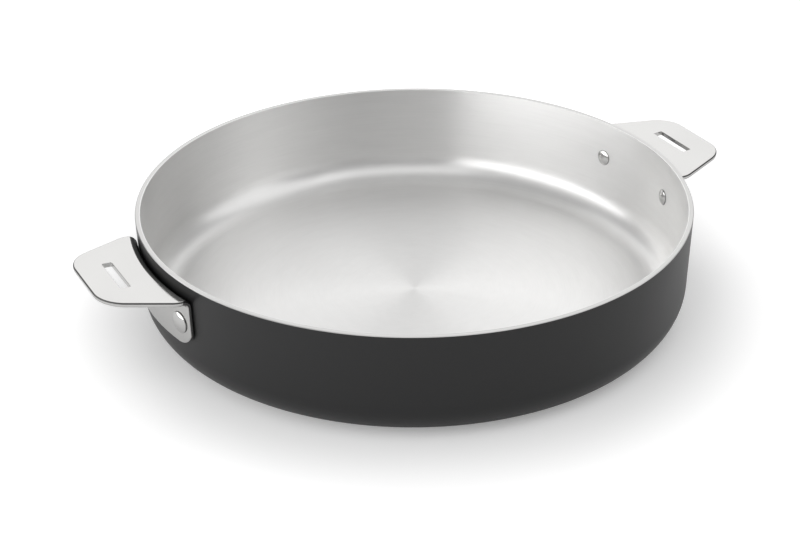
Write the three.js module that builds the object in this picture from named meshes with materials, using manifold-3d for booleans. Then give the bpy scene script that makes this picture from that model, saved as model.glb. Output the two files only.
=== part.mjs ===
import * as THREE from 'three';
import { mergeVertices } from 'three/addons/utils/BufferGeometryUtils.js';
import Module from 'manifold-3d';

// A low two-handled pan, in millimetres. +Z is up, the origin is the middle of the underside,
// and the handles lie along X.

// Body: one pressed sheet, sized on its outer face, lined with a thinner sheet
const RIM_DIAMETER = 285.4;
const HEIGHT = 57.2;
const WALL_DRAFT = THREE.MathUtils.degToRad(1.57);
const CORNER_RADIUS = 18.4;
const BODY_SHEET = 2.2;
const LINER_SHEET = 0.4;
const BOND_GAP = 0.1;
const RIM_CHAMFER = 0.3;

// Steel disc let into the underside
const DISC_DIAMETER = 210;
const DISC_SHEET = 0.5;
const DISC_CLEARANCE = 0.3;

// Handle: one bent sheet, a flat grip and a flange that follows the wall
const HANDLE_SHEET = 2.4;
const HANDLE_DROP = 5.5;
const HANDLE_REACH = 35.2;
const GRIP_RISE = THREE.MathUtils.degToRad(3.8);
const GRIP_FLARE = THREE.MathUtils.degToRad(22.8);
const BEND_RADIUS = 2.4;
const FLANGE_WIDTH = 76.4;
const FLANGE_HEIGHT = 27.1;
const FLANGE_CORNER = 11;
const ROOT_CORNER = 10;
const TIP_WIDTH = 49.4;
const TIP_CORNER = 17;
const SLOT_LENGTH = 27.5;
const SLOT_WIDTH = 4.9;
const SLOT_CORNER = 0.8;
const SLOT_INSET = 13.8;
const SEAT_GAP = 0.3;

// Rivets: two through each flange, domed on both sides of the wall
const RIVET_SPACING = 58.6;
const RIVET_DROP = 15.1;
const SHANK_DIAMETER = 4;
const SHANK_CLEARANCE = 0.1;
const OUTER_HEAD_DIAMETER = 11.2;
const OUTER_HEAD_HEIGHT = 2.4;
const INNER_HEAD_DIAMETER = 8.6;
const INNER_HEAD_HEIGHT = 1.8;
const HEAD_EDGE = 0.3;
const HEAD_CLEARANCE = 0.2;

// Facets of the round forms
const PAN_FACETS = 96;
const HANDLE_FACETS = 192;
const RIVET_FACETS = 20;
const ARC_STEPS = 3;
const DOME_STEPS = 2;
const MERGE_DISTANCE = 1e-4;

// Places that the driving sizes give
const rimRadius = RIM_DIAMETER / 2;
const wallStack = BODY_SHEET + BOND_GAP + LINER_SHEET;
const cornerCentre = wallRadius(CORNER_RADIUS, CORNER_RADIUS);
const gripTop = HEIGHT - HANDLE_DROP;
const flangeBottom = gripTop - FLANGE_HEIGHT;
const bendOuterRadius = BEND_RADIUS + HANDLE_SHEET;
const bendHeight = gripTop - bendOuterRadius;
const bendCentre = wallRadius(bendHeight, -SEAT_GAP - bendOuterRadius);
const flangeAngle = Math.asin(FLANGE_WIDTH / 2 / bendCentre);
const tipReach = rimRadius + HANDLE_REACH;
const rivetHeight = gripTop - RIVET_DROP;
const rivetAngle = Math.asin(RIVET_SPACING / 2 / wallRadius(rivetHeight));
const boreRadius = SHANK_DIAMETER / 2 + SHANK_CLEARANCE;
const boreReach = 2 * (wallStack + SEAT_GAP + HANDLE_SHEET);

const SIDES = [
  { name: 'left', turn: Math.PI, front: 1 },
  { name: 'right', turn: 0, front: -1 },
];
const PLACES = [
  { name: 'front', sign: 1 },
  { name: 'rear', sign: -1 },
];

const anodised = new THREE.MeshStandardMaterial({ color: 0x2a2a2c, roughness: 0.55, metalness: 0.4 });
const brushed = new THREE.MeshStandardMaterial({ color: 0xd6d5d2, roughness: 0.35, metalness: 1 });
const satin = new THREE.MeshStandardMaterial({ color: 0xb4b2ae, roughness: 0.45, metalness: 1 });
const polished = new THREE.MeshStandardMaterial({ color: 0xe2e1de, roughness: 0.15, metalness: 1 });

const wasm = await Module();
wasm.setup();

// Radius, at a height, of the surface that lies a depth inside the drafted outer wall
function wallRadius(height, depth = 0) {
  return rimRadius - (HEIGHT - height) * Math.tan(WALL_DRAFT) - depth / Math.cos(WALL_DRAFT);
}

// A profile of radius and height, turned about Z
function turned(profile, facets, steps = ARC_STEPS) {
  return new THREE.LatheGeometry(profile.getPoints(steps), facets).rotateX(Math.PI / 2);
}

function toSolid(geometry) {
  const bare = geometry.clone();
  bare.deleteAttribute('normal');
  bare.deleteAttribute('uv');
  const merged = mergeVertices(bare, MERGE_DISTANCE);
  const corners = merged.index.array;
  const triangles = [];
  for (let i = 0; i < corners.length; i += 3) {
    const [a, b, c] = corners.slice(i, i + 3);
    if (a !== b && b !== c && c !== a) triangles.push(a, b, c);
  }
  return new wasm.Manifold(new wasm.Mesh({
    numProp: 3,
    vertProperties: merged.attributes.position.array,
    triVerts: new Uint32Array(triangles),
  }));
}

function toGeometry(solid) {
  const mesh = solid.getMesh();
  const geometry = new THREE.BufferGeometry();
  geometry.setAttribute('position', new THREE.BufferAttribute(mesh.vertProperties, mesh.numProp));
  geometry.setIndex(new THREE.BufferAttribute(mesh.triVerts, 1));
  geometry.computeVertexNormals();
  return geometry;
}

// A closed outline through corners given as [x, y, radius], each rounded by its radius
function roundedShape(corners) {
  const shape = new THREE.Shape();
  const points = corners.map(([x, y]) => new THREE.Vector2(x, y));
  points.forEach((corner, i) => {
    const radius = corners[i][2];
    const back = points.at(i - 1).clone().sub(corner).normalize();
    const ahead = points[(i + 1) % points.length].clone().sub(corner).normalize();
    const half = back.angleTo(ahead) / 2;
    const start = back.clone().multiplyScalar(radius / Math.tan(half));
    const end = ahead.clone().multiplyScalar(radius / Math.tan(half));
    const centre = back.clone().add(ahead).setLength(radius / Math.sin(half));
    if (i === 0) shape.moveTo(corner.x + start.x, corner.y + start.y);
    if (radius === 0) {
      shape.lineTo(corner.x, corner.y);
    } else {
      const from = start.sub(centre).angle();
      const to = end.sub(centre).angle();
      centre.add(corner);
      shape.absarc(centre.x, centre.y, radius, from, to, back.cross(ahead) > 0);
    }
  });
  return shape;
}

function prism(shape, depth) {
  return new THREE.ExtrudeGeometry(shape, { depth, bevelEnabled: false, curveSegments: ARC_STEPS });
}

// The rivet's own axis is Z, out through the wall, with its origin on the wall's outer face
function rivetSeat(turn) {
  const seat = new THREE.Matrix4().makeRotationZ(turn);
  const place = new THREE.Matrix4().makeTranslation(wallRadius(rivetHeight), 0, rivetHeight);
  const lean = new THREE.Matrix4().makeRotationY(Math.PI / 2 + WALL_DRAFT);
  return seat.multiply(place).multiply(lean);
}

function rivetBore(turn) {
  const bore = new THREE.CylinderGeometry(boreRadius, boreRadius, 2 * boreReach, RIVET_FACETS);
  return toSolid(bore.rotateX(Math.PI / 2).applyMatrix4(rivetSeat(turn)));
}

function boredForRivets(solid) {
  let bored = solid;
  for (const side of SIDES) {
    for (const place of PLACES) {
      bored = bored.subtract(rivetBore(side.turn + place.sign * rivetAngle));
    }
  }
  return bored;
}

// Walls share one corner centre, so the sheets keep their thickness round the corner
function cornerArc(profile, depth, downwards) {
  const [from, to] = downwards ? [-WALL_DRAFT, -Math.PI / 2] : [-Math.PI / 2, -WALL_DRAFT];
  profile.absarc(cornerCentre, CORNER_RADIUS, CORNER_RADIUS - depth, from, to, downwards);
}

function bodyShell() {
  const pocketRadius = DISC_DIAMETER / 2 + DISC_CLEARANCE;
  const pocketDepth = DISC_SHEET + BOND_GAP;
  const profile = new THREE.Path();
  profile.moveTo(0, pocketDepth);
  profile.lineTo(pocketRadius, pocketDepth);
  profile.lineTo(pocketRadius, 0);
  cornerArc(profile, 0, false);
  profile.lineTo(wallRadius(HEIGHT - RIM_CHAMFER), HEIGHT - RIM_CHAMFER);
  profile.lineTo(rimRadius - RIM_CHAMFER, HEIGHT);
  profile.lineTo(wallRadius(HEIGHT, BODY_SHEET), HEIGHT);
  cornerArc(profile, BODY_SHEET, true);
  profile.lineTo(0, BODY_SHEET);
  return toGeometry(boredForRivets(toSolid(turned(profile, PAN_FACETS))));
}

function steelLiner() {
  const outer = BODY_SHEET + BOND_GAP;
  const profile = new THREE.Path();
  profile.moveTo(0, outer);
  profile.lineTo(cornerCentre, outer);
  cornerArc(profile, outer, false);
  profile.lineTo(wallRadius(HEIGHT, outer), HEIGHT);
  profile.lineTo(wallRadius(HEIGHT, wallStack), HEIGHT);
  cornerArc(profile, wallStack, true);
  profile.lineTo(0, wallStack);
  return toGeometry(boredForRivets(toSolid(turned(profile, PAN_FACETS))));
}

function baseDisc() {
  const profile = new THREE.Path();
  profile.moveTo(0, 0);
  profile.lineTo(DISC_DIAMETER / 2, 0);
  profile.lineTo(DISC_DIAMETER / 2, DISC_SHEET);
  profile.lineTo(0, DISC_SHEET);
  return turned(profile, PAN_FACETS);
}

// The bent sheet's section: up the flange, under the grip to past the tip, then back over the bend
function handleRing() {
  const flangeSide = Math.PI - WALL_DRAFT;
  const gripSide = Math.PI / 2 + GRIP_RISE;
  const ringReach = tipReach + TIP_WIDTH;
  const gripHeight = (radius) =>
    bendHeight + (ringReach - bendCentre) * Math.tan(GRIP_RISE) + radius / Math.cos(GRIP_RISE);
  const profile = new THREE.Path();
  profile.moveTo(wallRadius(flangeBottom, -SEAT_GAP), flangeBottom);
  profile.lineTo(wallRadius(flangeBottom, -SEAT_GAP - HANDLE_SHEET), flangeBottom);
  profile.absarc(bendCentre, bendHeight, BEND_RADIUS, flangeSide, gripSide, true);
  profile.lineTo(ringReach, gripHeight(BEND_RADIUS));
  profile.lineTo(ringReach, gripHeight(bendOuterRadius));
  profile.absarc(bendCentre, bendHeight, bendOuterRadius, gripSide, flangeSide, false);
  profile.closePath();
  return toSolid(turned(profile, HANDLE_FACETS));
}

// Seen from above: square tip with round corners, sides that flare to the bend, radial flange ends
function gripOutline() {
  const tipHalf = TIP_WIDTH / 2;
  const cut = tipReach * Math.sin(flangeAngle) - tipHalf * Math.cos(flangeAngle);
  const side = cut / Math.sin(GRIP_FLARE + flangeAngle);
  const root = [tipReach - side * Math.cos(GRIP_FLARE), tipHalf + side * Math.sin(GRIP_FLARE)];
  const outline = roundedShape([
    [0, 0, 0],
    [root[0], -root[1], ROOT_CORNER],
    [tipReach, -tipHalf, TIP_CORNER],
    [tipReach, tipHalf, TIP_CORNER],
    [root[0], root[1], ROOT_CORNER],
  ]);
  return toSolid(prism(outline, 2 * HEIGHT));
}

// Seen along the handle: the flange's lower corners are round, and the grip stays whole
function flangeOutline() {
  const flangeHalf = wallRadius(bendHeight, -SEAT_GAP - HANDLE_SHEET) * Math.sin(flangeAngle);
  const outline = roundedShape([
    [-flangeHalf, flangeBottom, FLANGE_CORNER],
    [flangeHalf, flangeBottom, FLANGE_CORNER],
    [flangeHalf, bendHeight, 0],
    [FLANGE_WIDTH, bendHeight, 0],
    [FLANGE_WIDTH, 2 * HEIGHT, 0],
    [-FLANGE_WIDTH, 2 * HEIGHT, 0],
    [-FLANGE_WIDTH, bendHeight, 0],
    [-flangeHalf, bendHeight, 0],
  ]);
  return toSolid(prism(outline, 2 * tipReach).rotateX(Math.PI / 2).rotateZ(Math.PI / 2));
}

function gripSlot() {
  const far = tipReach - SLOT_INSET;
  const near = far - SLOT_WIDTH;
  const outline = roundedShape([
    [near, -SLOT_LENGTH / 2, SLOT_CORNER],
    [far, -SLOT_LENGTH / 2, SLOT_CORNER],
    [far, SLOT_LENGTH / 2, SLOT_CORNER],
    [near, SLOT_LENGTH / 2, SLOT_CORNER],
  ]);
  return toSolid(prism(outline, 2 * HEIGHT));
}

function bentHandle() {
  const blank = handleRing().intersect(gripOutline()).intersect(flangeOutline());
  const slotted = blank.subtract(gripSlot());
  return toGeometry(slotted.subtract(rivetBore(rivetAngle)).subtract(rivetBore(-rivetAngle)));
}

// Radius of the sphere whose cap spans a rivet head above its straight edge
function capRadius(diameter, height) {
  const rise = height - HEAD_EDGE;
  return (diameter * diameter / 4 + rise * rise) / (2 * rise);
}

function domedRivet() {
  const innerSeat = -wallStack - HEAD_CLEARANCE;
  const outerSeat = SEAT_GAP + HANDLE_SHEET + HEAD_CLEARANCE;
  const innerCap = capRadius(INNER_HEAD_DIAMETER, INNER_HEAD_HEIGHT);
  const outerCap = capRadius(OUTER_HEAD_DIAMETER, OUTER_HEAD_HEIGHT);
  const innerRim = Math.acos(INNER_HEAD_DIAMETER / 2 / innerCap);
  const outerRim = Math.acos(OUTER_HEAD_DIAMETER / 2 / outerCap);
  const innerCentre = innerSeat - INNER_HEAD_HEIGHT + innerCap;
  const outerCentre = outerSeat + OUTER_HEAD_HEIGHT - outerCap;
  const profile = new THREE.Path();
  profile.absarc(0, innerCentre, innerCap, -Math.PI / 2, -innerRim, false);
  profile.lineTo(INNER_HEAD_DIAMETER / 2, innerSeat);
  profile.lineTo(SHANK_DIAMETER / 2, innerSeat);
  profile.lineTo(SHANK_DIAMETER / 2, outerSeat);
  profile.lineTo(OUTER_HEAD_DIAMETER / 2, outerSeat);
  profile.absarc(0, outerCentre, outerCap, outerRim, Math.PI / 2, false);
  return turned(profile, RIVET_FACETS, DOME_STEPS);
}

function piece(name, geometry, material) {
  const mesh = new THREE.Mesh(geometry, material);
  mesh.name = name;
  return mesh;
}

const pan = new THREE.Group();
pan.add(piece('body_shell', bodyShell(), anodised));
pan.add(piece('steel_liner', steelLiner(), brushed));
pan.add(piece('base_disc', baseDisc(), satin));

const handleForm = bentHandle();
const rivetForm = domedRivet();
for (const side of SIDES) {
  const station = new THREE.Group();
  station.rotation.z = side.turn;
  station.add(piece(`handle_${side.name}`, handleForm, polished));
  for (const place of PLACES) {
    const rivet = piece(`rivet_${side.name}_${place.name}`, rivetForm, polished);
    rivet.applyMatrix4(rivetSeat(side.front * place.sign * rivetAngle));
    station.add(rivet);
  }
  pan.add(station);
}

export default pan;
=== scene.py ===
"""A low two-handled pan: matt black body, brushed steel lining, bent steel handles and domed rivets."""

import math

import bmesh
import bpy
from bpy.props import FloatProperty, FloatVectorProperty, IntProperty, PointerProperty
from bpy.types import Operator, Panel, PropertyGroup
from mathutils import Matrix, Vector


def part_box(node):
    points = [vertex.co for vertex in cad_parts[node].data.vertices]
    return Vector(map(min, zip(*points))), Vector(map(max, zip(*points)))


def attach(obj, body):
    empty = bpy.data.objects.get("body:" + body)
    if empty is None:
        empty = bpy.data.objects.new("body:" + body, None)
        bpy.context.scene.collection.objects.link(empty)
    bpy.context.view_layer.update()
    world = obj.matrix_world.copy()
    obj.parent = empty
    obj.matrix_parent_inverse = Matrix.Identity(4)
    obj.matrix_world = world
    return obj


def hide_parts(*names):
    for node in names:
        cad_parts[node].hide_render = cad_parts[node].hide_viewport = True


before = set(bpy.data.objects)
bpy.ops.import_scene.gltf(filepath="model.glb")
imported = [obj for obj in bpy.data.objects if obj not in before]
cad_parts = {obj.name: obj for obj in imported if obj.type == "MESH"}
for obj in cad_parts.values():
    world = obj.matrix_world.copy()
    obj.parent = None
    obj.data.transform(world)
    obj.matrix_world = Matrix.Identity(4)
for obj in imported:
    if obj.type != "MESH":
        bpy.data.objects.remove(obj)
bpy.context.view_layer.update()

bl_info = {
    "name": "Two-handled pan",
    "version": (1, 0, 0),
    "blender": (4, 5, 0),
    "location": "View3D > Sidebar > Pan",
    "description": "Builds a low pan with a steel lining and riveted handles, and the stage it stands on",
    "category": "Add Mesh",
}

MM = 0.001
ROOT = "root"
BODY_LOW, BODY_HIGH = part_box("body_shell")
DISC_LOW, DISC_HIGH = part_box("base_disc")
HANDLE_LOW, HANDLE_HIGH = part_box("handle_right")

# Each handle's turn round the pan, and the sign of the turn from its middle to its front rivet
SIDES = {"left": (math.pi, 1), "right": (0.0, -1)}
# The rivets of a handle: the front one lies that way, and the rear one the other way
PLACES = {"front": 1, "rear": -1}

# Meshes: how close points merge, the steps on each round, and the angles past which edges stay sharp
MERGE = 1e-7
ARC_STEPS = {
    "body corner": 16,
    "lining corner": 24,
    "rim": 5,
    "disc": 4,
    "bend": 10,
    "tip": 12,
    "root": 8,
    "flange": 10,
    "slot": 4,
    "head": 8,
}
EDGE_STEPS = 3
# A slanting direction, along which a mesh's points are sorted
SORTING = Vector((1.0, 0.618034, 0.381966))
SHARP = math.radians(35)
CUT_SHARP = math.radians(60)
# The least upward part of a normal on the grip, and how far beyond the slot its edges are looked for
GRIP_FACING = 0.9
SLOT_MARGIN = 1.0 * MM
# The attribute that marks edges for painted shade, the upward part of a normal on the handle's edges that get
# it, and how strong the painted shade is on a rivet's edge
EDGE_SHADE_ATTRIBUTE = "painted_edge_shade"
EDGE_SHADE_FACING = (0.1, 0.95)
HEAD_EDGE_SHADE = 0.7

# Noise: the detail and roughness of each kind, and the middle span that is spread over a whole tone
LINE_NOISE = (3.0, 0.6)
SPECK_NOISE = (2.0, 0.6)
CLOUD_NOISE = (3.0, 0.55)
NOISE_SPAN = (0.3, 0.7)
# Its scales: specks, the clouds of each finish, and the drift of brushed lines on their way round
GRAIN = 2200.0
COAT_CLOUDS = 14.0
BRUSH_CLOUDS = 9.0
POLISH_CLOUDS = 30.0
BRUSH_DRIFT = 5.0
# Broad bands in brushed steel: their share of the lines, and of the tone
BAND_LINES = 0.08
BAND_SHARE = 0.4

# Finishes: a darker and a lighter tone, roughness and what noise adds to it, and relief and its depth
COAT_SPECULAR = 0.45
COAT_TONES = (0.85, 1.18)
COAT_ROUGH = (0.32, 0.10)
COAT_RELIEF = (0.10, 0.05 * MM)
BARE_LINES = 1800.0
BARE_TONES = (0.9, 1.06)
BARE_ROUGH = (0.26, 0.12)
# The coat gives way to bare metal from just below the rim's chamfer to just above its start
BARE_FADE = (-0.05 * MM, 0.02 * MM)
LINING_BRUSH = {"roughness": 0.42, "lines": 2600.0, "contrast": 0.03, "anisotropic": 0.8}
DISC_BRUSH = {"roughness": 0.38, "lines": 1500.0, "contrast": 0.14, "anisotropic": 0.7}
BRUSH_TURN = 0.25
BRUSH_RELIEF = (0.04, 0.02 * MM)
# What each noise adds to the roughness of steel, from its lowest to its highest value
LINE_ROUGH = 0.10
SPECK_ROUGH = 0.06
CLOUD_ROUGH = 0.04
# The lining is smoother in its round corner, which starts over the first span and ends over the second
CORNER_SMOOTH = 0.10
CORNER_OUTWARDS = (-8.0 * MM, 2.0 * MM)
CORNER_UPWARDS = (-4.0 * MM, 6.0 * MM)
HANDLE_ROUGH = 0.12
RIVET_ROUGH = 0.07
POLISH_TONES = (0.98, 1.02)
POLISH_RELIEF = (0.02, 0.02 * MM)
# The tone of the painted shade on a marked edge, and what the mark adds to the roughness
EDGE_SHADE_TONE = 0.14
EDGE_SHADE_ROUGH = 0.2

# Sockets of a Mix node by its kind: the share, both values and the result
MIX_SOCKETS = {"RGBA": (0, 6, 7, 2), "FLOAT": (0, 2, 3, 0)}

WHITE = (1.0, 1.0, 1.0, 1.0)
SENSOR_WIDTH = 36.0
FLOOR_RADIUS = 1.2
FLOOR_SIDES = 96
FLOOR_GAP = 0.05 * MM
# The floor's glow: the distances from the axis where it rises, its share under the pan, which paints a shadow
# round the pan, and its share reflected
GLOW_REACH = (0.14, 0.20)
GLOW_NEAR = 0.5
GLOW_REFLECTED = 0.25
LAMP_DISTANCE = 1.6
# Each softbox: degrees to the right of the camera, degrees up, width and height
LAMPS = {
    "left": (-66, 17, 3.0, 0.85),
    "right": (90, 42, 1.3, 1.6),
    "back": (180, 36, 1.6, 1.4),
    "front": (10, 60, 1.6, 0.9),
}
# The room is dimmer at its foot, by the sine of the angle above the floor
ROOM_FOOT = (0.10, 0.30)
FOOT_SHARE = 0.85
# It is dimmer too in a patch behind the camera, which fades to the sides and upwards
DIM_TURN = math.radians(25)
DIM_SIDE = (0.55, 0.85)
DIM_TOP = (0.45, 0.62)
DIM_SHARE = 0.75


def length(name, description, default):
    """A property that holds a length in metres."""
    return FloatProperty(name=name, description=description, default=default, unit="LENGTH", precision=5)


def angle(name, description, degrees):
    """A property that holds an angle, given here in degrees."""
    return FloatProperty(name=name, description=description, default=math.radians(degrees), subtype="ANGLE")


def colour(name, description, default):
    """A property that holds a linear colour."""
    return FloatVectorProperty(name=name, description=description, default=default, subtype="COLOR",
                               min=0.0, max=1.0)


def level(name, description, default):
    """A property that holds how bright something is."""
    return FloatProperty(name=name, description=description, default=default, min=0.0)


class PanBodySizes(PropertyGroup):
    """Sizes of the pressed body, its lining and its base disc."""

    rim_diameter: length("Rim diameter", "Across the rim, outside", BODY_HIGH.x - BODY_LOW.x)
    height: length("Height", "From the underside to the rim", BODY_HIGH.z - BODY_LOW.z)
    draft: angle("Draft", "Lean of the wall from upright", 1.57)
    corner_radius: length("Corner radius", "Outer round between wall and underside", 18.4 * MM)
    body_sheet: length("Body sheet", "Thickness of the black body", 2.2 * MM)
    liner_sheet: length("Lining sheet", "Thickness of the lining and its bond", 0.5 * MM)
    rim_chamfer: length("Rim chamfer", "Bare chamfer at the rim's outer edge", 0.3 * MM)
    rim_round: length("Rim round", "Round at the rim's inner edge", 0.35 * MM)
    disc_diameter: length("Disc diameter", "Steel disc in the underside", DISC_HIGH.x - DISC_LOW.x)
    disc_sheet: length("Disc sheet", "Thickness of the steel disc", DISC_HIGH.z - DISC_LOW.z)
    disc_gap: length("Disc gap", "Groove round the steel disc", 0.3 * MM)
    facets: IntProperty(name="Facets", description="Steps round the pan", default=288, min=24)


class PanHandleSizes(PropertyGroup):
    """Sizes of the bent sheet handles."""

    sheet: length("Sheet", "Thickness of the handle", 2.4 * MM)
    drop: length("Drop", "From the rim down to the grip at its bend", 5.5 * MM)
    tip_reach: length("Tip reach", "From the pan's axis to the grip's tip", HANDLE_HIGH.x)
    tip_width: length("Tip width", "Across the tip before its corners are rounded", 49.4 * MM)
    tip_corner: length("Tip corner", "Round of the tip's corners", 17.0 * MM)
    rise: angle("Rise", "Slope of the grip up to its tip", 3.8)
    flare: angle("Flare", "Angle of the grip's sides", 22.8)
    root_corner: length("Root corner", "Round where a side meets the bend", 10.0 * MM)
    bend_radius: length("Bend radius", "Inner radius of the bend", 2.4 * MM)
    flange_width: length("Flange width", "Across the flange at the bend", 76.4 * MM)
    flange_bottom: length("Flange bottom", "Height of the flange's lower edge", HANDLE_LOW.z)
    flange_corner: length("Flange corner", "Round of the flange's lower corners", 11.0 * MM)
    seat_gap: length("Seat gap", "From the wall to the flange", 0.3 * MM)
    slot_length: length("Slot length", "Along the hanging slot", 27.5 * MM)
    slot_width: length("Slot width", "Across the hanging slot", 4.9 * MM)
    slot_corner: length("Slot corner", "Round of the slot's corners", 0.8 * MM)
    slot_inset: length("Slot inset", "From the tip to the slot", 13.8 * MM)
    slot_round: length("Slot round", "Softened edges of the slot", 0.22 * MM)
    edge_round: length("Edge round", "Softened edges of the sheet", 0.7 * MM)
    facets: IntProperty(name="Facets", description="Steps across the handle", default=40, min=8)


class PanRivetSizes(PropertyGroup):
    """Sizes of the domed rivets."""

    spacing: length("Spacing", "Between the rivets of one handle", 58.6 * MM)
    height: length("Height", "Height of the rivets above the underside", 36.6 * MM)
    shank: length("Shank", "Diameter of the shank", 4.0 * MM)
    outer_head: length("Outer head", "Diameter of the head on the flange", 11.2 * MM)
    outer_rise: length("Outer rise", "Height of the head on the flange", 2.1 * MM)
    inner_head: length("Inner head", "Diameter of the head inside the pan", 8.6 * MM)
    inner_rise: length("Inner rise", "Height of the head inside the pan", 1.5 * MM)
    skirt: length("Skirt", "Straight edge below each dome", 0.1 * MM)
    outer_edge: length("Outer edge", "Round at the edge of the head on the flange", 0.5 * MM)
    inner_edge: length("Inner edge", "Round at the edge of the head inside the pan", 0.4 * MM)
    facets: IntProperty(name="Facets", description="Steps round a rivet", default=48, min=12)


class PanColours(PropertyGroup):
    """Colours of the pan's finishes and its stage."""

    black: colour("Black", "Hard matt coat of the body", (0.011, 0.011, 0.0115))
    bare: colour("Bare rim", "Bare metal of the rim", (0.60, 0.597, 0.59))
    lining: colour("Lining", "Brushed lining", (0.84, 0.837, 0.83))
    disc: colour("Disc", "Steel disc in the underside", (0.62, 0.61, 0.59))
    handle: colour("Handle", "Polished handles", (0.615, 0.611, 0.602))
    rivet: colour("Rivet", "Polished rivets", (0.62, 0.616, 0.608))
    floor: colour("Floor", "Pale floor", (0.86, 0.86, 0.86))


class PanView(PropertyGroup):
    """Where the camera stands."""

    azimuth: angle("Azimuth", "Round the pan from its front", -27.2728)
    elevation: angle("Elevation", "Above the horizon", 28.4557)
    roll: angle("Roll", "Turn about the line of sight", -0.5676)
    distance: length("Distance", "From the camera to the aim point", 843.74 * MM)
    aim: FloatVectorProperty(name="Aim", description="Point at the middle of the picture", unit="LENGTH",
                             default=(-41.74 * MM, -64.61 * MM, 57.21 * MM))
    lens: FloatProperty(name="Lens", description="Focal length in millimetres", default=79.58)


class PanLight(PropertyGroup):
    """How bright the studio is, where 1 is white."""

    room: level("Room", "The walls round the pan", 0.42)
    left: level("Left", "Wide softbox, low on the camera's left", 2.4)
    right: level("Right", "Softbox on the camera's right", 0.60)
    back: level("Back", "Softbox beyond the pan", 0.85)
    front: level("Front", "Softbox high above the camera", 0.65)
    floor_glow: level("Floor glow", "Added to the floor where it is seen", 0.50)


# Profiles and meshes


def wall_radius(sizes, height, depth=0.0):
    """Radius, at a height, of the surface that lies a depth inside the drafted outer wall."""
    lean = (sizes.height - height) * math.tan(sizes.draft)
    return sizes.rim_diameter / 2 - lean - depth / math.cos(sizes.draft)


def arc(centre, radius, start, end, steps):
    """Points on an arc, from one angle to another, both ends included."""
    turns = [start + (end - start) * i / steps for i in range(steps + 1)]
    return [(centre[0] + radius * math.cos(t), centre[1] + radius * math.sin(t)) for t in turns]


def corner(sizes, depth, downwards, steps=ARC_STEPS["body corner"]):
    """The round between wall and floor, for the surface a depth inside the outer one."""
    centre = (wall_radius(sizes, sizes.corner_radius, sizes.corner_radius), sizes.corner_radius)
    points = arc(centre, sizes.corner_radius - depth, -math.pi / 2, -sizes.draft, steps)
    return points[::-1] if downwards else points


def ordered(bm):
    """Sorts points, edges and faces by place, because a tool's own order changes from run to run."""
    bm.verts.sort(key=lambda v: v.co.dot(SORTING))
    bm.edges.sort(key=lambda e: (e.verts[0].co + e.verts[1].co).dot(SORTING))
    bm.faces.sort(key=lambda f: f.calc_center_median().dot(SORTING))
    for elements in (bm.verts, bm.edges, bm.faces):
        elements.index_update()


def turned(profile, facets):
    """A mesh of a profile of radius and height, spun about Z."""
    bm = bmesh.new()
    verts = [bm.verts.new((r, 0.0, z)) for r, z in profile]
    for a, b in zip(verts, verts[1:]):
        bm.edges.new((a, b))
    bmesh.ops.spin(bm, geom=bm.verts[:] + bm.edges[:], cent=(0, 0, 0), axis=(0, 0, 1),
                   angle=math.tau, steps=facets, use_merge=True)
    bmesh.ops.remove_doubles(bm, verts=bm.verts[:], dist=MERGE)
    bmesh.ops.recalc_face_normals(bm, faces=bm.faces[:])
    ordered(bm)
    return bm


def finished(bm, name, material, nodes, sharp=SHARP):
    """Turns a bmesh into a piece that stands for the named nodes."""
    for face in bm.faces:
        face.smooth = True
    for edge in bm.edges:
        edge.smooth = edge.calc_face_angle(0.0) < sharp
    mesh = bpy.data.meshes.new(name)
    bm.to_mesh(mesh)
    bm.free()
    mesh.materials.append(material)
    piece = bpy.data.objects.new(name, mesh)
    bpy.context.scene.collection.objects.link(piece)
    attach(piece, ROOT)
    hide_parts(*nodes)
    return piece


def body_profile(sizes):
    """Half section of the black body, from the axis round its underside and rim and back."""
    pocket = sizes.disc_diameter / 2 + sizes.disc_gap
    rim = sizes.rim_diameter / 2
    chamfer = sizes.height - sizes.rim_chamfer
    return [
        (0.0, sizes.disc_sheet),
        (pocket, sizes.disc_sheet),
        (pocket, 0.0),
        *corner(sizes, 0.0, False),
        (wall_radius(sizes, chamfer), chamfer),
        (rim - sizes.rim_chamfer, sizes.height),
        (wall_radius(sizes, sizes.height, sizes.body_sheet), sizes.height),
        *corner(sizes, sizes.body_sheet, True),
        (0.0, sizes.body_sheet),
    ]


def lining_profile(sizes):
    """Half section of the lining, from the axis up its bonded face, over the rim and down inside."""
    outer = sizes.body_sheet
    inner = outer + sizes.liner_sheet
    top = wall_radius(sizes, sizes.height, inner)
    round_centre = (top + sizes.rim_round, sizes.height - sizes.rim_round)
    return [
        (0.0, outer),
        *corner(sizes, outer, False),
        (wall_radius(sizes, sizes.height, outer), sizes.height),
        *arc(round_centre, sizes.rim_round, math.pi / 2, math.pi - sizes.draft, ARC_STEPS["rim"]),
        *corner(sizes, inner, True, ARC_STEPS["lining corner"]),
        (0.0, inner),
    ]


def disc_profile(sizes):
    """Half section of the base disc, with a soft lower edge."""
    edge = sizes.disc_gap / 2
    radius = sizes.disc_diameter / 2
    return [
        (0.0, 0.0),
        *arc((radius - edge, edge), edge, -math.pi / 2, 0.0, ARC_STEPS["disc"]),
        (radius, sizes.disc_sheet),
        (0.0, sizes.disc_sheet),
    ]


# The bent handle


def trim(bm, point, normal):
    """Cuts away what lies beyond a plane."""
    geom = bm.verts[:] + bm.edges[:] + bm.faces[:]
    bmesh.ops.bisect_plane(bm, geom=geom, dist=MERGE, plane_co=point, plane_no=normal, clear_outer=True)


def score(bm, faces, point, normal):
    """Cuts a line across some faces and keeps both sides."""
    edges = dict.fromkeys(e for f in faces for e in f.edges)
    verts = dict.fromkeys(v for f in faces for v in f.verts)
    geom = [*faces, *edges, *verts]
    bmesh.ops.bisect_plane(bm, geom=geom, dist=MERGE, plane_co=point, plane_no=normal)


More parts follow.
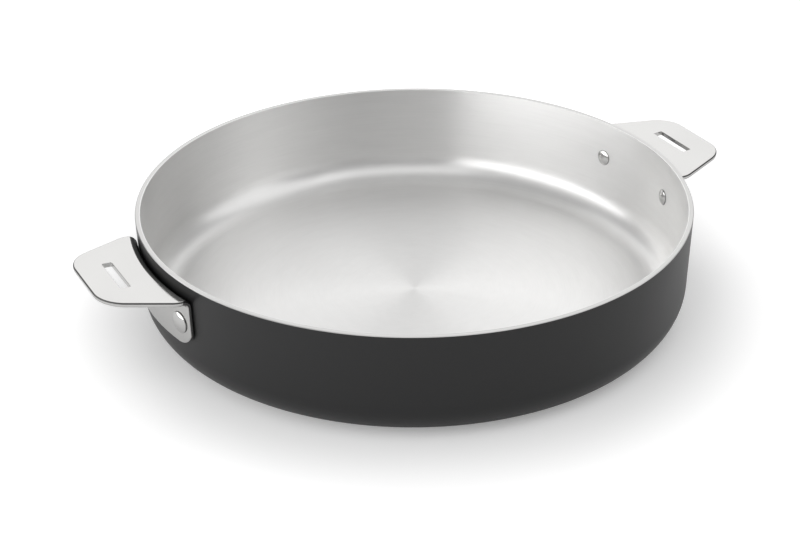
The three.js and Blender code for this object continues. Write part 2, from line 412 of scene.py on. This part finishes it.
def tangents(centre, radius, start, end, steps):
    """Points and normals of the tangents to an arc, in a plane."""
    turns = [start + (end - start) * i / steps for i in range(steps + 1)]
    normals = [(math.cos(t), math.sin(t)) for t in turns]
    return [((centre[0] + radius * n[0], centre[1] + radius * n[1]), n) for n in normals]


def bend_place(body, handle):
    """Radius and height of the bend's centre, and the half angle of the flange."""
    outer = handle.bend_radius + handle.sheet
    height = body.height - handle.drop - outer
    radius = wall_radius(body, height, -handle.seat_gap - outer)
    return radius, height, math.asin(handle.flange_width / 2 / radius)


def bent_sheet(body, handle):
    """The handle's upper face, spun about the pan's axis: up the wall, over the bend and out past the tip."""
    radius, height, half = bend_place(body, handle)
    outer = handle.bend_radius + handle.sheet
    reach = handle.tip_reach + handle.tip_width
    grip_end = height + (reach - radius) * math.tan(handle.rise) + outer / math.cos(handle.rise)
    section = [
        (wall_radius(body, handle.flange_bottom, -handle.seat_gap), handle.flange_bottom),
        *arc((radius, height), outer, math.pi - body.draft, math.pi / 2 + handle.rise, ARC_STEPS["bend"]),
        (reach, grip_end),
    ]
    bm = bmesh.new()
    verts = [bm.verts.new((r * math.cos(half), -r * math.sin(half), z)) for r, z in section]
    for a, b in zip(verts, verts[1:]):
        bm.edges.new((a, b))
    bmesh.ops.spin(bm, geom=bm.verts[:] + bm.edges[:], cent=(0, 0, 0), axis=(0, 0, 1),
                   angle=2 * half, steps=handle.facets)
    bmesh.ops.remove_doubles(bm, verts=bm.verts[:], dist=MERGE)
    bmesh.ops.recalc_face_normals(bm, faces=bm.faces[:])
    if max(bm.faces, key=lambda f: f.calc_center_median().length).normal.z < 0:
        bmesh.ops.reverse_faces(bm, faces=bm.faces[:])
    ordered(bm)
    return bm


def cut_outline(bm, body, handle):
    """Trims the sheet to its outline: the tip, its sides, and the round corners."""
    _, _, half = bend_place(body, handle)
    side_turn = math.pi / 2 - handle.flare
    side = Vector((math.cos(side_turn), math.sin(side_turn)))
    tip = handle.tip_reach - handle.sheet * math.sin(handle.rise)
    side_reach = side.dot((tip, handle.tip_width / 2))
    end = Vector((-math.sin(half), math.cos(half)))
    tip_x = tip - handle.tip_corner
    tip_y = (side_reach - handle.tip_corner - side.x * tip_x) / side.y
    root = Matrix((side, end)).inverted() @ Vector((side_reach - handle.root_corner, -handle.root_corner))
    plan = tangents((tip_x, tip_y), handle.tip_corner, 0.0, side_turn, ARC_STEPS["tip"])
    plan += tangents(root, handle.root_corner, side_turn, math.pi / 2 + half, ARC_STEPS["root"])[1:-1]
    foot_y = math.sin(half) * wall_radius(body, body.height, -handle.seat_gap - handle.sheet)
    foot = (foot_y - handle.flange_corner, handle.flange_bottom + handle.flange_corner)
    lower = tangents(foot, handle.flange_corner, -math.pi / 2, 0.0, ARC_STEPS["flange"])[1:-1]
    for sign in (1, -1):
        for (x, y), (nx, ny) in plan:
            trim(bm, (x, sign * y, 0.0), (nx, sign * ny, 0.0))
        for (y, z), (ny, nz) in lower:
            trim(bm, (0.0, sign * y, z), (0.0, sign * ny, nz))


def cut_slot(bm, handle):
    """Cuts the hanging slot through the grip."""
    far = handle.tip_reach - handle.slot_inset
    near = far - handle.slot_width
    half = handle.slot_length / 2
    middle = (near + far) / 2
    inset = handle.slot_corner

    def across():
        return [f for f in bm.faces if near < f.calc_center_median().x < far]

    def inside():
        return [f for f in across() if abs(f.calc_center_median().y) < half]

    for edge in (near, far):
        grip = [f for f in bm.faces if f.normal.z > GRIP_FACING]
        score(bm, grip, (edge, 0, 0), (1, 0, 0))
    for sign in (1, -1):
        score(bm, across(), (0, sign * half, 0), (0, 1, 0))
    centre = (handle.slot_width / 2 - inset, half - inset)
    corners = tangents(centre, inset, 0.0, math.pi / 2, ARC_STEPS["slot"])[1:-1]
    for sx in (1, -1):
        for sy in (1, -1):
            for (x, y), (nx, ny) in corners:
                score(bm, inside(), (middle + sx * x, sy * y, 0.0), (sx * nx, sy * ny, 0.0))

    def kept(face):
        place = face.calc_center_median()
        x, y = abs(place.x - middle), abs(place.y)
        return any(nx * (x - px) + ny * (y - py) > 0 for (px, py), (nx, ny) in corners)

    bmesh.ops.delete(bm, geom=[f for f in inside() if not kept(f)], context="FACES")


def softened(bm, edges, offset):
    """Rounds some edges and returns the faces of the round."""
    return bmesh.ops.bevel(bm, geom=edges, offset=offset, offset_type="OFFSET", segments=EDGE_STEPS,
                           profile=0.5, affect="EDGES", clamp_overlap=False, material=-1)["faces"]


def handle_mesh(body, handle):
    """One handle: a sheet that is bent, trimmed, slotted, given its thickness and softened at its edges."""
    bm = bent_sheet(body, handle)
    cut_outline(bm, body, handle)
    cut_slot(bm, handle)
    bmesh.ops.remove_doubles(bm, verts=bm.verts[:], dist=handle.slot_round)
    bmesh.ops.solidify(bm, geom=bm.faces[:], thickness=handle.sheet)
    bmesh.ops.recalc_face_normals(bm, faces=bm.faces[:])
    ordered(bm)
    # A face layer for the painted shade on the round of the grip's top edges, set below
    shade_layer = bm.faces.layers.float.new(EDGE_SHADE_ATTRIBUTE)
    far = handle.tip_reach - handle.slot_inset + SLOT_MARGIN
    near = far - handle.slot_width - 2 * SLOT_MARGIN
    reach = handle.slot_length / 2 + SLOT_MARGIN

    def sharp(in_slot):
        found = [e for e in bm.edges if e.calc_face_angle(0.0) > CUT_SHARP]
        middles = [(e, (e.verts[0].co + e.verts[1].co) / 2) for e in found]
        return [e for e, m in middles if (near < m.x < far and abs(m.y) < reach) == in_slot]

    softened(bm, sharp(True), handle.slot_round)
    grip = body.height - handle.drop - handle.sheet
    least, most = EDGE_SHADE_FACING
    # The round of the grip's top edges is marked for painted shade: a dark line along them
    for face in softened(bm, sharp(False), handle.edge_round):
        if face.calc_center_median().z > grip and least < face.normal.z < most:
            face[shade_layer] = 1.0
    ordered(bm)
    return bm


# Rivets


def dome(diameter, rise, skirt, edge):
    """Half section of a domed head on a flat seat: up its skirt, round its edge and over to the axis."""
    flat = diameter / 2 - edge
    cap = rise - skirt
    crown = (flat * flat + cap * cap - edge * edge) / (2 * (cap - edge))
    meet = math.atan2(crown - cap, flat)
    return [
        (diameter / 2, 0.0),
        *arc((flat, skirt), edge, 0.0, meet, ARC_STEPS["head"]),
        *arc((0.0, rise - crown), crown, meet, math.pi / 2, ARC_STEPS["head"])[1:],
    ]


def shade_head_edges(bm, rivet):
    """Marks the round at the edge of each head for a painted dark ring of shade."""
    edge_shade = bm.faces.layers.float.new(EDGE_SHADE_ATTRIBUTE)
    for face in bm.faces:
        centre = face.calc_center_median()
        outside = centre.z > 0
        head = rivet.outer_head if outside else rivet.inner_head
        edge = rivet.outer_edge if outside else rivet.inner_edge
        # The head's edge round gets painted shade: a dark ring round the head
        if centre.xy.length > head / 2 - edge:
            face[edge_shade] = HEAD_EDGE_SHADE


def rivet_mesh(body, handle, rivet):
    """A rivet about its own axis, out through the wall, with its origin on the wall's outer face."""
    outer_seat = handle.seat_gap + handle.sheet
    inner_seat = -body.body_sheet - body.liner_sheet
    inner_dome = dome(rivet.inner_head, rivet.inner_rise, rivet.skirt, rivet.inner_edge)
    outer_dome = dome(rivet.outer_head, rivet.outer_rise, rivet.skirt, rivet.outer_edge)
    bm = turned([
        *[(r, inner_seat - z) for r, z in inner_dome[::-1]],
        (rivet.shank / 2, inner_seat),
        (rivet.shank / 2, outer_seat),
        *[(r, outer_seat + z) for r, z in outer_dome],
    ], rivet.facets)
    shade_head_edges(bm, rivet)
    return bm


def rivet_seat(body, rivet, turn):
    """Places a rivet in the drafted wall."""
    radius = wall_radius(body, rivet.height)
    place = Matrix.Translation((radius, 0.0, rivet.height))
    lean = Matrix.Rotation(math.pi / 2 + body.draft, 4, "Y")
    return Matrix.Rotation(turn, 4, "Z") @ place @ lean


# Shader nodes


def add(tree, kind, **settings):
    """A node with some of its settings."""
    made = tree.nodes.new(kind)
    for key, value in settings.items():
        setattr(made, key, value)
    return made


def feed(tree, socket, value):
    """Links a socket to another, or sets its value."""
    if isinstance(value, bpy.types.NodeSocket):
        tree.links.new(value, socket)
    else:
        socket.default_value = value


def fed(tree, kind, values, **settings):
    """The outputs of a node whose first inputs are given in order."""
    made = add(tree, kind, **settings)
    for socket, value in zip(made.inputs, values):
        feed(tree, socket, value)
    return made.outputs


def maths(tree, operation, *values):
    """The result of a maths node."""
    return fed(tree, "ShaderNodeMath", values, operation=operation)[0]


def vector_maths(tree, operation, *vectors):
    """The results of a vector maths node: a vector and a value."""
    return fed(tree, "ShaderNodeVectorMath", vectors, operation=operation)


def split(tree, vector):
    """The parts of a vector along X, Y and Z."""
    return fed(tree, "ShaderNodeSeparateXYZ", [vector])


def joined(tree, *parts):
    """A vector made of its parts."""
    return fed(tree, "ShaderNodeCombineXYZ", parts)[0]


def on_piece(tree):
    """A piece's Object coordinates."""
    return add(tree, "ShaderNodeTexCoord").outputs["Object"]


def ranged(tree, value, low, high, to_low, to_high, smooth=True):
    """A value mapped from one range to another."""
    made = add(tree, "ShaderNodeMapRange", interpolation_type="SMOOTHSTEP" if smooth else "LINEAR")
    names = ("Value", "From Min", "From Max", "To Min", "To Max")
    for name, given in zip(names, (value, low, high, to_low, to_high)):
        feed(tree, made.inputs[name], given)
    return made.outputs["Result"]


def stretched(tree, value):
    """A noise value spread evenly from 0 to 1."""
    return ranged(tree, value, *NOISE_SPAN, 0.0, 1.0, smooth=False)


def blended(tree, share, a, b, kind="RGBA"):
    """A colour, or a number, between two others."""
    made = add(tree, "ShaderNodeMix", data_type=kind)
    *places, result = MIX_SOCKETS[kind]
    for place, value in zip(places, (share, a, b)):
        feed(tree, made.inputs[place], value)
    return made.outputs[result]


def scaled(rgb, factor):
    """A colour made lighter or darker."""
    return (*[c * factor for c in rgb], 1.0)


def toned(tree, share, rgb, tones):
    """A colour between a darker and a lighter tone of itself."""
    dark, light = tones
    return blended(tree, share, scaled(rgb, dark), scaled(rgb, light))


def noise(tree, vector, scale, detail, roughness):
    """A noise value."""
    made = add(tree, "ShaderNodeTexNoise", noise_dimensions="3D")
    for name, value in (("Vector", vector), ("Scale", scale), ("Detail", detail), ("Roughness", roughness)):
        feed(tree, made.inputs[name], value)
    return made.outputs["Fac"]


def bumped(tree, height, strength, distance):
    """A normal with a small relief."""
    made = add(tree, "ShaderNodeBump")
    for name, value in (("Strength", strength), ("Distance", distance), ("Height", height)):
        feed(tree, made.inputs[name], value)
    return made.outputs["Normal"]


# Effects that materials share


def new_group(name, sizes, outputs):
    """An empty node group on a vector and some sizes, with its input and output sockets."""
    group = bpy.data.node_groups.new(name, "ShaderNodeTree")
    group.interface.new_socket("Vector", in_out="INPUT", socket_type="NodeSocketVector")
    for label, default in sizes.items():
        socket = group.interface.new_socket(label, in_out="INPUT", socket_type="NodeSocketFloat")
        socket.default_value = default
    for label in outputs:
        group.interface.new_socket(label, in_out="OUTPUT", socket_type="NodeSocketFloat")
    return group, add(group, "NodeGroupInput").outputs, add(group, "NodeGroupOutput").inputs


def turned_brushing(name):
    """Fine lines round the Z axis, and a slower change from line to line."""
    sizes = {"Lines": LINING_BRUSH["lines"], "Drift": BRUSH_DRIFT}
    group, given, result = new_group(name, sizes, ["Line", "Band"])
    parts = split(group, given["Vector"])
    flat = joined(group, parts["X"], parts["Y"])
    way = split(group, vector_maths(group, "NORMALIZE", flat)["Vector"])
    along = maths(group, "SUBTRACT", vector_maths(group, "LENGTH", flat)["Value"], parts["Z"])
    drift = [maths(group, "MULTIPLY", way[axis], given["Drift"]) for axis in "XY"]
    for label, share in (("Line", 1.0), ("Band", BAND_LINES)):
        lines = maths(group, "MULTIPLY", given["Lines"], share)
        place = joined(group, maths(group, "MULTIPLY", along, lines), *drift)
        feed(group, result[label], noise(group, place, 1.0, *LINE_NOISE))
    return group


def fine_grain(name):
    """A grain of specks, and broad clouds, for coats and polished metal."""
    sizes = {"Grain": GRAIN, "Clouds": COAT_CLOUDS}
    group, given, result = new_group(name, sizes, ["Speck", "Cloud"])
    feed(group, result["Speck"], noise(group, given["Vector"], given["Grain"], *SPECK_NOISE))
    feed(group, result["Cloud"], noise(group, given["Vector"], given["Clouds"], *CLOUD_NOISE))
    return group


EFFECTS = {"Turned brushing": turned_brushing, "Fine grain": fine_grain}


def effect(tree, name, **sizes):
    """A shared effect, made on first use and placed on the piece's Object coordinates."""
    group = bpy.data.node_groups.get(name) or EFFECTS[name](name)
    made = add(tree, "ShaderNodeGroup", node_tree=group)
    feed(tree, made.inputs["Vector"], on_piece(tree))
    for key, value in sizes.items():
        made.inputs[key].default_value = value
    return made.outputs


# Finishes


def new_material(name, sockets):
    """A material with one Principled shader, whose constants are set on its own sockets."""
    material = bpy.data.materials.new(name)
    material.use_nodes = True
    shader = material.node_tree.nodes["Principled BSDF"]
    for label, value in sockets.items():
        shader.inputs[label].default_value = value
    return material, material.node_tree, shader.inputs


def rough_with(tree, value, base, share):
    """A roughness that changes with a value."""
    return maths(tree, "MULTIPLY_ADD", value, share, base)


def black_body_finish(colours, body):
    """A hard matt black coat, cut away to bare metal on the rim."""
    material, tree, shader = new_material("Matt black coat", {"Specular IOR Level": COAT_SPECULAR})
    grain = effect(tree, "Fine grain")
    lines = effect(tree, "Turned brushing", Lines=BARE_LINES)
    edge = body.height - body.rim_chamfer
    fade = [edge + step for step in BARE_FADE]
    bare = ranged(tree, split(tree, on_piece(tree))["Z"], *fade, 0.0, 1.0)
    coat = toned(tree, stretched(tree, grain["Speck"]), colours.black, COAT_TONES)
    metal = toned(tree, lines["Line"], colours.bare, BARE_TONES)
    feed(tree, shader["Base Color"], blended(tree, bare, coat, metal))
    feed(tree, shader["Metallic"], bare)
    coat_rough = rough_with(tree, grain["Cloud"], *COAT_ROUGH)
    bare_rough = rough_with(tree, lines["Line"], *BARE_ROUGH)
    feed(tree, shader["Roughness"], blended(tree, bare, coat_rough, bare_rough, "FLOAT"))
    feed(tree, shader["Normal"], bumped(tree, grain["Speck"], *COAT_RELIEF))
    return material


def corner_mask(tree, body):
    """One on the lining's round corner, and nothing on its wall and floor."""
    parts = split(tree, on_piece(tree))
    reach = vector_maths(tree, "LENGTH", joined(tree, parts["X"], parts["Y"]))["Value"]
    start = body.rim_diameter / 2 - body.corner_radius
    outwards = [start + step for step in CORNER_OUTWARDS]
    upwards = [body.corner_radius + step for step in CORNER_UPWARDS]
    outer = ranged(tree, reach, *outwards, 0.0, 1.0)
    return maths(tree, "MULTIPLY", outer, ranged(tree, parts["Z"], *upwards, 1.0, 0.0))


def turned_steel(name, rgb, brush, body=None):
    """Steel brushed round the pan's axis, and smoother in the round corner of the body it lines."""
    gloss = {"Metallic": 1.0, "Anisotropic": brush["anisotropic"], "Anisotropic Rotation": BRUSH_TURN}
    material, tree, shader = new_material(name, gloss)
    brushing = effect(tree, "Turned brushing", Lines=brush["lines"])
    grain = effect(tree, "Fine grain", Clouds=BRUSH_CLOUDS)
    fine = maths(tree, "MULTIPLY", brushing["Line"], 1.0 - BAND_SHARE)
    tone = maths(tree, "MULTIPLY_ADD", brushing["Band"], BAND_SHARE, fine)
    tones = (1.0 - brush["contrast"], 1.0 + brush["contrast"])
    feed(tree, shader["Base Color"], toned(tree, stretched(tree, tone), rgb, tones))
    base = brush["roughness"] - (LINE_ROUGH + CLOUD_ROUGH) / 2
    rough = rough_with(tree, brushing["Line"], base, LINE_ROUGH)
    rough = rough_with(tree, grain["Cloud"], rough, CLOUD_ROUGH)
    if body:
        rough = rough_with(tree, corner_mask(tree, body), rough, -CORNER_SMOOTH)
    feed(tree, shader["Roughness"], rough)
    tangent = add(tree, "ShaderNodeTangent", direction_type="RADIAL", axis="Z")
    feed(tree, shader["Tangent"], tangent.outputs[0])
    feed(tree, shader["Normal"], bumped(tree, brushing["Line"], *BRUSH_RELIEF))
    return material


def polished_steel(name, rgb, roughness):
    """Polished steel with a trace of grain and handling, with painted shade, a near-black and rougher tone,
    along the edges that are marked.
    """
    material, tree, shader = new_material(name, {"Metallic": 1.0})
    grain = effect(tree, "Fine grain", Clouds=POLISH_CLOUDS)
    edge_shade = add(tree, "ShaderNodeAttribute", attribute_type="GEOMETRY", attribute_name=EDGE_SHADE_ATTRIBUTE).outputs["Fac"]
    steel = toned(tree, stretched(tree, grain["Cloud"]), rgb, POLISH_TONES)
    # Marked edges are painted near-black: painted shade along them
    feed(tree, shader["Base Color"], blended(tree, edge_shade, steel, scaled(rgb, EDGE_SHADE_TONE)))
    base = roughness - (SPECK_ROUGH + CLOUD_ROUGH) / 2
    rough = rough_with(tree, grain["Speck"], base, SPECK_ROUGH)
    rough = rough_with(tree, grain["Cloud"], rough, CLOUD_ROUGH)
    feed(tree, shader["Roughness"], rough_with(tree, edge_shade, rough, EDGE_SHADE_ROUGH))
    feed(tree, shader["Normal"], bumped(tree, grain["Speck"], *POLISH_RELIEF))
    return material


# Stage


def shown_rays(tree):
    """One for rays that show the stage to the camera or through glass, and a share for its reflection."""
    path = add(tree, "ShaderNodeLightPath").outputs
    seen = maths(tree, "MAXIMUM", path["Is Camera Ray"], path["Is Transmission Ray"])
    return maths(tree, "MAXIMUM", seen, maths(tree, "MULTIPLY", path["Is Glossy Ray"], GLOW_REFLECTED))


def floor_finish(colours, glow_level):
    """A pale floor that keeps the shadow, with a painted shadow of weaker glow round the pan, and reads as
    white where it is fully lit.
    """
    material = bpy.data.materials.new("Pale floor")
    material.use_nodes = True
    tree = material.node_tree
    tree.nodes.clear()
    paint = add(tree, "ShaderNodeBsdfDiffuse")
    paint.inputs["Color"].default_value = (*colours.floor, 1.0)
    glow = add(tree, "ShaderNodeEmission")
    glow.inputs["Color"].default_value = WHITE
    away = vector_maths(tree, "LENGTH", on_piece(tree))["Value"]
    # Weaker glow near the pan: a painted shadow round its foot
    glow_with_painted_shadow = ranged(tree, away, *GLOW_REACH, GLOW_NEAR * glow_level, glow_level)
    feed(tree, glow.inputs["Strength"], maths(tree, "MULTIPLY", shown_rays(tree), glow_with_painted_shadow))
    both = fed(tree, "ShaderNodeAddShader", [paint.outputs[0], glow.outputs[0]])
    feed(tree, add(tree, "ShaderNodeOutputMaterial").inputs["Surface"], both[0])
    return material


def studio_world(scene, view, room):
    """A grey room: dimmer at its foot and low behind the camera, and white to the camera itself."""
    world = bpy.data.worlds.new("Studio")
    scene.world = world
    world.use_nodes = True
    tree = world.node_tree
    tree.nodes.clear()
    ray = add(tree, "ShaderNodeTexCoord").outputs["Generated"]
    rise = split(tree, ray)["Z"]
    turn = view.azimuth + DIM_TURN
    behind = vector_maths(tree, "DOT_PRODUCT", ray, (math.sin(turn), -math.cos(turn), 0.0))["Value"]
    side = ranged(tree, behind, *DIM_SIDE, 0.0, 1.0)
    dim = maths(tree, "MULTIPLY", side, ranged(tree, rise, *DIM_TOP, 1.0 - DIM_SHARE, 0.0))
    foot = ranged(tree, rise, *ROOM_FOOT, FOOT_SHARE * room, room)
    lit = maths(tree, "MULTIPLY", foot, maths(tree, "SUBTRACT", 1.0, dim))
    seen = shown_rays(tree)
    back = add(tree, "ShaderNodeBackground")
    back.inputs["Color"].default_value = WHITE
    feed(tree, back.inputs["Strength"], maths(tree, "MAXIMUM", seen, lit))
    feed(tree, add(tree, "ShaderNodeOutputWorld").inputs["Surface"], back.outputs[0])


def view_axes(view):
    """Unit vectors from the aim point to the camera, to its right and up, with its roll."""
    a, e = view.azimuth, view.elevation
    back = Vector((math.sin(a) * math.cos(e), -math.cos(a) * math.cos(e), math.sin(e)))
    right = Vector((math.cos(a), math.sin(a), 0.0))
    up = back.cross(right)
    c, s = math.cos(view.roll), math.sin(view.roll)
    return back, right * c + up * s, up * c - right * s


def make_camera(scene, view):
    """The camera, at the picture's angle."""
    data = bpy.data.cameras.new("Camera")
    data.lens = view.lens
    data.sensor_width = SENSOR_WIDTH
    camera = bpy.data.objects.new("Camera", data)
    back, right, up = view_axes(view)
    turn = Matrix((right, up, back)).transposed().to_4x4()
    camera.matrix_world = Matrix.Translation(Vector(view.aim) + back * view.distance) @ turn
    scene.collection.objects.link(camera)
    scene.camera = camera


def softbox(scene, name, turn, elevation, width, height, brightness):
    """A large soft lamp that faces the pan, where a brightness of 1 is white."""
    data = bpy.data.lights.new(name, "AREA")
    data.shape = "RECTANGLE"
    data.size, data.size_y = width, height
    data.energy = brightness * math.pi * width * height
    flat = math.cos(elevation)
    way = Vector((math.sin(turn) * flat, -math.cos(turn) * flat, math.sin(elevation)))
    lamp = bpy.data.objects.new(name, data)
    lamp.rotation_mode = "QUATERNION"
    lamp.rotation_quaternion = way.to_track_quat("Z", "Y")
    lamp.location = way * LAMP_DISTANCE
    scene.collection.objects.link(lamp)


def lay_floor(scene, material):
    """A round floor just under the pan."""
    bm = bmesh.new()
    bmesh.ops.create_circle(bm, cap_ends=True, radius=FLOOR_RADIUS, segments=FLOOR_SIDES)
    bmesh.ops.translate(bm, verts=bm.verts[:], vec=(0, 0, -FLOOR_GAP))
    mesh = bpy.data.meshes.new("floor")
    bm.to_mesh(mesh)
    bm.free()
    mesh.materials.append(material)
    floor = bpy.data.objects.new("floor", mesh)
    scene.collection.objects.link(floor)


class PAN_OT_stage(Operator):
    """Lays the floor, hangs the lamps and sets the camera."""

    bl_idname = "pan.stage"
    bl_label = "Stage"

    def execute(self, context):
        scene = context.scene
        view, light = scene.pan_view, scene.pan_light
        scene.view_settings.view_transform = "Standard"
        make_camera(scene, view)
        studio_world(scene, view, light.room)
        for side, (turn, elevation, width, height) in LAMPS.items():
            softbox(scene, f"Softbox {side}", view.azimuth + math.radians(turn), math.radians(elevation),
                    width, height, getattr(light, side))
        lay_floor(scene, floor_finish(scene.pan_colours, light.floor_glow))
        return {"FINISHED"}


class PAN_OT_body(Operator):
    """Presses the black body."""

    bl_idname = "pan.body"
    bl_label = "Body"

    def execute(self, context):
        scene = context.scene
        body = scene.pan_body
        bm = turned(body_profile(body), body.facets)
        finished(bm, "black_body", black_body_finish(scene.pan_colours, body), ["body_shell"])
        return {"FINISHED"}


class PAN_OT_lining(Operator):
    """Lines the body with brushed steel."""

    bl_idname = "pan.lining"
    bl_label = "Lining"

    def execute(self, context):
        scene = context.scene
        body = scene.pan_body
        steel = turned_steel("Brushed lining", scene.pan_colours.lining, LINING_BRUSH, body)
        finished(turned(lining_profile(body), body.facets), "brushed_lining", steel, ["steel_liner"])
        return {"FINISHED"}


class PAN_OT_disc(Operator):
    """Lets the steel disc into the underside."""

    bl_idname = "pan.disc"
    bl_label = "Base disc"

    def execute(self, context):
        scene = context.scene
        body = scene.pan_body
        steel = turned_steel("Faced disc", scene.pan_colours.disc, DISC_BRUSH)
        finished(turned(disc_profile(body), body.facets), "faced_disc", steel, ["base_disc"])
        return {"FINISHED"}


class PAN_OT_handles(Operator):
    """Bends both handles."""

    bl_idname = "pan.handles"
    bl_label = "Handles"

    def execute(self, context):
        scene = context.scene
        steel = polished_steel("Polished handle", scene.pan_colours.handle, HANDLE_ROUGH)
        for side, (turn, _) in SIDES.items():
            bm = handle_mesh(scene.pan_body, scene.pan_handle)
            bmesh.ops.rotate(bm, verts=bm.verts[:], cent=(0, 0, 0), matrix=Matrix.Rotation(turn, 3, "Z"))
            piece = finished(bm, f"bent_handle_{side}", steel, [f"handle_{side}"], CUT_SHARP)
            flat = piece.modifiers.new("Flat faces", "WEIGHTED_NORMAL")
            flat.keep_sharp = True
        return {"FINISHED"}


class PAN_OT_rivets(Operator):
    """Sets the four rivets."""

    bl_idname = "pan.rivets"
    bl_label = "Rivets"

    def execute(self, context):
        scene = context.scene
        body, handle, rivet = scene.pan_body, scene.pan_handle, scene.pan_rivet
        steel = polished_steel("Polished rivet", scene.pan_colours.rivet, RIVET_ROUGH)
        half = math.asin(rivet.spacing / 2 / wall_radius(body, rivet.height))
        for side, (turn, front) in SIDES.items():
            for place, sign in PLACES.items():
                bm = rivet_mesh(body, handle, rivet)
                seat = rivet_seat(body, rivet, turn + front * sign * half)
                bmesh.ops.transform(bm, matrix=seat, verts=bm.verts[:])
                finished(bm, f"domed_rivet_{side}_{place}", steel, [f"rivet_{side}_{place}"])
        return {"FINISHED"}


STEPS = (PAN_OT_stage, PAN_OT_body, PAN_OT_lining, PAN_OT_disc, PAN_OT_handles, PAN_OT_rivets)
GROUPS = {
    "pan_body": PanBodySizes,
    "pan_handle": PanHandleSizes,
    "pan_rivet": PanRivetSizes,
    "pan_colours": PanColours,
    "pan_view": PanView,
    "pan_light": PanLight,
}


class PAN_PT_sidebar(Panel):
    """Lists the steps that build the pan, and its sizes."""

    bl_idname = "PAN_PT_sidebar"
    bl_label = "Two-handled pan"
    bl_space_type = "VIEW_3D"
    bl_region_type = "UI"
    bl_category = "Pan"

    def draw(self, context):
        for step in STEPS:
            self.layout.operator(step.bl_idname)
        for key, group in GROUPS.items():
            box = self.layout.box()
            box.label(text=group.__doc__)
            for name in group.__annotations__:
                box.prop(getattr(context.scene, key), name)


def register():
    """Adds the classes and the scene's properties."""
    for cls in (*GROUPS.values(), *STEPS, PAN_PT_sidebar):
        bpy.utils.register_class(cls)
    for key, group in GROUPS.items():
        setattr(bpy.types.Scene, key, PointerProperty(type=group))


def unregister():
    """Takes the properties and the classes away again."""
    for key in GROUPS:
        delattr(bpy.types.Scene, key)
    for cls in (PAN_PT_sidebar, *reversed(STEPS), *GROUPS.values()):
        bpy.utils.unregister_class(cls)


def main():
    """Builds the stage and the pan."""
    register()
    bpy.ops.pan.stage()
    bpy.ops.pan.body()
    bpy.ops.pan.lining()
    bpy.ops.pan.disc()
    bpy.ops.pan.handles()
    bpy.ops.pan.rivets()


if __name__ == "__main__":
    main()
